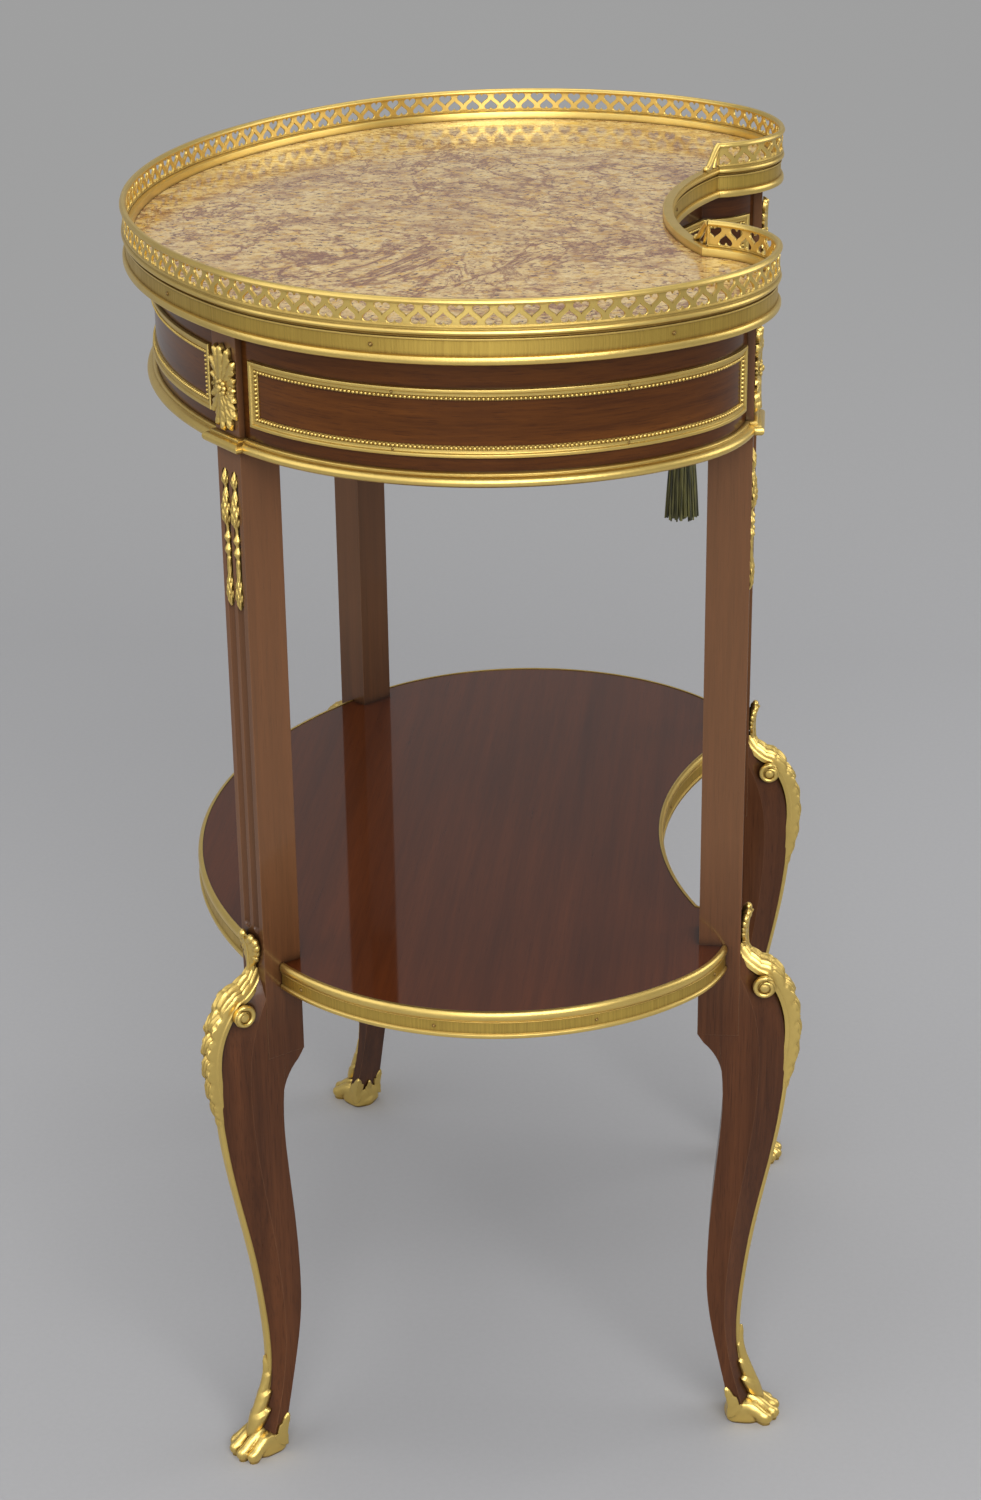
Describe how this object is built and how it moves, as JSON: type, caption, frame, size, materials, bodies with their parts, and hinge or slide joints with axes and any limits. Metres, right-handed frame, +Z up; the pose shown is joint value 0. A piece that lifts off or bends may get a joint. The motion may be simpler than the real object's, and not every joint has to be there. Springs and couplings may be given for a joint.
{
  "type": "occasional table",
  "caption": "Kidney-shaped mahogany occasional table with a galleried marble top, a concave frieze drawer with a tasselled key, an undershelf and cabriole legs on paw feet.",
  "frame": {"origin": "on the floor, below the centre of the table's box in plan", "axes": "+Z up, +X along the long axis, -Y towards the concave drawer side"},
  "size_m": [0.5898, 0.4225, 0.775],
  "materials": {
    "mahogany": "polished red-brown mahogany",
    "oak": "plain oak drawer linings",
    "gilt_bronze": "satin gilt bronze, burnished on the high points",
    "marble": "polished brecciated marble, opaque",
    "lock_brass": "plain brass lock",
    "steel": "worn steel key",
    "silk": "olive-green silk threads"
  },
  "bodies": {
    "carcass": {"drawer_kicker_left": "oak", "drawer_kicker_right": "oak", "drawer_rail": "mahogany", "drawer_runner_left": "oak", "drawer_runner_right": "oak", "edge_strip_back_left": "gilt_bronze", "edge_strip_back_right": "gilt_bronze", "edge_strip_front_left": "gilt_bronze", "edge_strip_front_right": "gilt_bronze", "flute_husks": "gilt_bronze", "frieze_moulding_back": "gilt_bronze", "frieze_moulding_breaks": "gilt_bronze", "frieze_moulding_front": "gilt_bronze", "frieze_moulding_left": "gilt_bronze", "frieze_moulding_right": "gilt_bronze", "frieze_rail_back": "mahogany", "frieze_rail_left": "mahogany", "frieze_rail_right": "mahogany", "knee_mount_back_left": "gilt_bronze", "knee_mount_back_right": "gilt_bronze", "knee_mount_front_left": "gilt_bronze", "knee_mount_front_right": "gilt_bronze", "leg_back_left": "mahogany", "leg_back_right": "mahogany", "leg_front_left": "mahogany", "leg_front_right": "mahogany", "marble_top": "marble", "panel_frame_back": "gilt_bronze", "panel_frame_left": "gilt_bronze", "panel_frame_right": "gilt_bronze", "pierced_gallery": "gilt_bronze", "post_leaf_back_left": "gilt_bronze", "post_leaf_back_right": "gilt_bronze", "post_leaf_front_left": "gilt_bronze", "post_leaf_front_right": "gilt_bronze", "sabot_back_left": "gilt_bronze", "sabot_back_right": "gilt_bronze", "sabot_front_left": "gilt_bronze", "sabot_front_right": "gilt_bronze", "shelf_band_back": "gilt_bronze", "shelf_band_front": "gilt_bronze", "shelf_band_left": "gilt_bronze", "shelf_band_right": "gilt_bronze", "shelf_board": "mahogany", "top_board": "mahogany", "top_edge_band": "gilt_bronze"},
    "drawer": {"drawer_front": "mahogany", "drawer_side_left": "oak", "drawer_side_right": "oak", "drawer_back": "oak", "drawer_bottom": "oak", "panel_frame_drawer": "gilt_bronze", "lock_case": "lock_brass", "escutcheon": "gilt_bronze"},
    "key": {"key": "steel"},
    "bolt": {"lock_bolt": "lock_brass"},
    "tassel": {"tassel_cord": "silk", "tassel_head": "silk", "tassel_skirt": "silk"}
  },
  "joints": [
    {"name": "drawer_slide", "type": "slide", "parent": "carcass", "child": "drawer", "axis": [0, -1, 0], "range_m": [0, 0.17]},
    {"name": "key_turn", "type": "hinge", "parent": "drawer", "child": "key", "pos_m": [0, -0.104, 0.7044], "axis": [0, 1, 0], "range_deg": [0, 90]},
    {"name": "bolt_throw", "type": "slide", "parent": "drawer", "child": "bolt", "axis": [0, 0, 1], "range_m": [0, 0.006]},
    {"name": "tassel_swing", "type": "hinge", "parent": "drawer", "child": "tassel", "pos_m": [0, -0.1282, 0.7044], "axis": [0, 1, 0], "range_deg": [-30, 30]}
  ],
  "couplings": [
    {"joint": "bolt_throw", "follows": "key_turn", "m_per_rad": 0.0038193}
  ]
}
